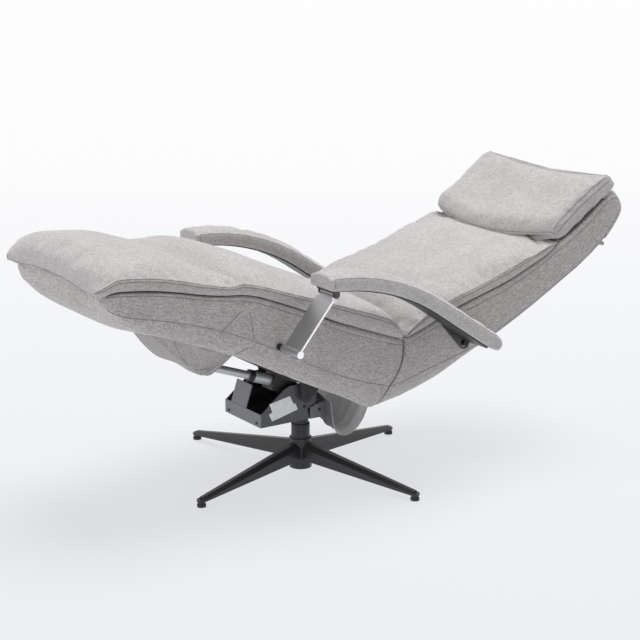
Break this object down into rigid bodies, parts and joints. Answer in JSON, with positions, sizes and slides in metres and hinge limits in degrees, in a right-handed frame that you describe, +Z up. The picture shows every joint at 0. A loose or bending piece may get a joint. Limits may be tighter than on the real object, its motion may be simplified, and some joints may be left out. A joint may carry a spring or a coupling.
{
  "type": "star base swivel recliner",
  "caption": "Fabric swivel recliner lying back on a black star base, with curved armrests on flat steel bars and a loose head pillow.",
  "frame": {"origin": "point of the floor on the swivel axis", "axes": "+Z up, +Y from the footrest to the head end, +X to the side of the left arm of a person who sits in it, X = 0 is the middle plane"},
  "size_m": [0.7206, 1.5261, 0.7099],
  "materials": {
    "cast_black": "anthracite black satin powder coat",
    "black_plastic": "fine-grained black moulding",
    "dark_sheet": "dark grey painted sheet",
    "grey_sheet": "mid grey painted sheet",
    "black_screws": "black oxide",
    "frame_black": "black powder coat",
    "bright_steel": "polished and plated",
    "dull_steel": "brushed",
    "webbing": "woven elastic webbing",
    "fabric_top": "light warm grey heathered weave",
    "fabric_side": "warm grey heathered weave",
    "lining": "light grey lining cloth"
  },
  "bodies": {
    "base": {"star_base": "cast_black", "glides": "black_plastic", "hub_plug": "black_plastic", "column_tube": "cast_black", "column_bush": "black_plastic"},
    "carriage": {"spindle": "cast_black", "swivel_plate": "dark_sheet", "side_plates": "dark_sheet", "front_plate": "grey_sheet", "bracket_plates": "grey_sheet", "tilt_motor": "black_plastic", "housing_screws": "black_screws"},
    "seat": {"tilt_shaft": "bright_steel", "tilt_brackets": "frame_black", "mount_plate": "frame_black", "seat_rails": "frame_black", "seat_webbing": "webbing", "seat_side_left": "fabric_side", "seat_side_right": "fabric_side", "seat_dust_cover": "black_plastic", "seat_cushion": "fabric_top", "foot_hinge_pins": "bright_steel", "back_hinge_pins": "bright_steel", "arm_pivots": "black_screws", "foot_motor": "black_plastic", "foot_tube": "bright_steel", "foot_collar": "black_plastic", "back_motor": "black_plastic", "knee_gussets": "fabric_side", "knee_pouch": "fabric_side", "back_gussets": "fabric_side", "tail_sling": "lining"},
    "foot_slide": {"foot_rod": "bright_steel", "foot_drive_arm": "frame_black"},
    "back_slide": {"back_rod": "bright_steel", "back_drive_plate": "frame_black"},
    "footrest": {"foot_arms": "frame_black", "foot_cross_tubes": "frame_black", "foot_lug": "frame_black", "foot_webbing": "webbing", "foot_shell": "fabric_side", "foot_cushion": "fabric_top"},
    "backrest": {"back_rails": "frame_black", "back_cross_tubes": "frame_black", "back_lug": "frame_black", "back_webbing": "webbing", "back_shell": "fabric_side", "back_cushion": "fabric_top", "rear_arm_bolts": "black_screws"},
    "pillow": {"head_pillow": "fabric_top", "pillow_flap": "fabric_side", "pillow_weight": "bright_steel"},
    "arm_link_l": {"arm_link_left": "bright_steel"},
    "arm_link_r": {"arm_link_right": "bright_steel"},
    "armrest_l": {"arm_pad_left": "fabric_top", "arm_rail_left": "dull_steel"},
    "armrest_r": {"arm_pad_right": "fabric_top", "arm_rail_right": "dull_steel"}
  },
  "joints": [
    {"name": "swivel", "type": "hinge", "parent": "base", "child": "carriage", "pos_m": [0, 0, 0], "axis": [0, 0, 1], "continuous": true},
    {"name": "seat_tilt", "type": "hinge", "parent": "carriage", "child": "seat", "pos_m": [0, -0.045, 0.222], "axis": [1, 0, 0], "range_deg": [0, 14]},
    {"name": "back_recline", "type": "hinge", "parent": "seat", "child": "backrest", "pos_m": [0, 0.12666, 0.33012], "axis": [1, 0, 0], "range_deg": [0, 38], "deforming": ["back_gussets", "tail_sling"]},
    {"name": "footrest_fold", "type": "hinge", "parent": "seat", "child": "footrest", "pos_m": [0, -0.312, 0.52955], "axis": [1, 0, 0], "range_deg": [0, 80], "deforming": ["knee_gussets", "knee_pouch"]},
    {"name": "foot_drive", "type": "slide", "parent": "seat", "child": "foot_slide", "axis": [0, 0.9432, -0.3322], "range_m": [0, 0.07713]},
    {"name": "back_drive", "type": "slide", "parent": "seat", "child": "back_slide", "axis": [0, 0.9432, -0.3322], "range_m": [0, 0.04558]},
    {"name": "arm_link_turn_l", "type": "hinge", "parent": "seat", "child": "arm_link_l", "pos_m": [0, -0.22241, 0.41064], "axis": [1, 0, 0], "range_deg": [0, 29.27]},
    {"name": "arm_link_turn_r", "type": "hinge", "parent": "seat", "child": "arm_link_r", "pos_m": [0, -0.22241, 0.41064], "axis": [1, 0, 0], "range_deg": [0, 29.27]},
    {"name": "armrest_turn_l", "type": "hinge", "parent": "arm_link_l", "child": "armrest_l", "pos_m": [0, -0.11957, 0.53451], "axis": [1, 0, 0], "range_deg": [-19.12, 0]},
    {"name": "armrest_turn_r", "type": "hinge", "parent": "arm_link_r", "child": "armrest_r", "pos_m": [0, -0.11957, 0.53451], "axis": [1, 0, 0], "range_deg": [-19.12, 0]},
    {"name": "pillow_slide", "type": "slide", "parent": "backrest", "child": "pillow", "axis": [0, 0.8339, 0.5519], "range_m": [0, 0.06]}
  ],
  "couplings": [
    {"joint": "foot_drive", "follows": "footrest_fold", "m_per_rad": 0.055244},
    {"joint": "back_drive", "follows": "back_recline", "m_per_rad": 0.068724},
    {"joint": "arm_link_turn_l", "follows": "back_recline", "ratio": 0.7703},
    {"joint": "arm_link_turn_r", "follows": "back_recline", "ratio": 0.7703},
    {"joint": "armrest_turn_l", "follows": "back_recline", "ratio": -0.5032},
    {"joint": "armrest_turn_r", "follows": "back_recline", "ratio": -0.5032}
  ]
}
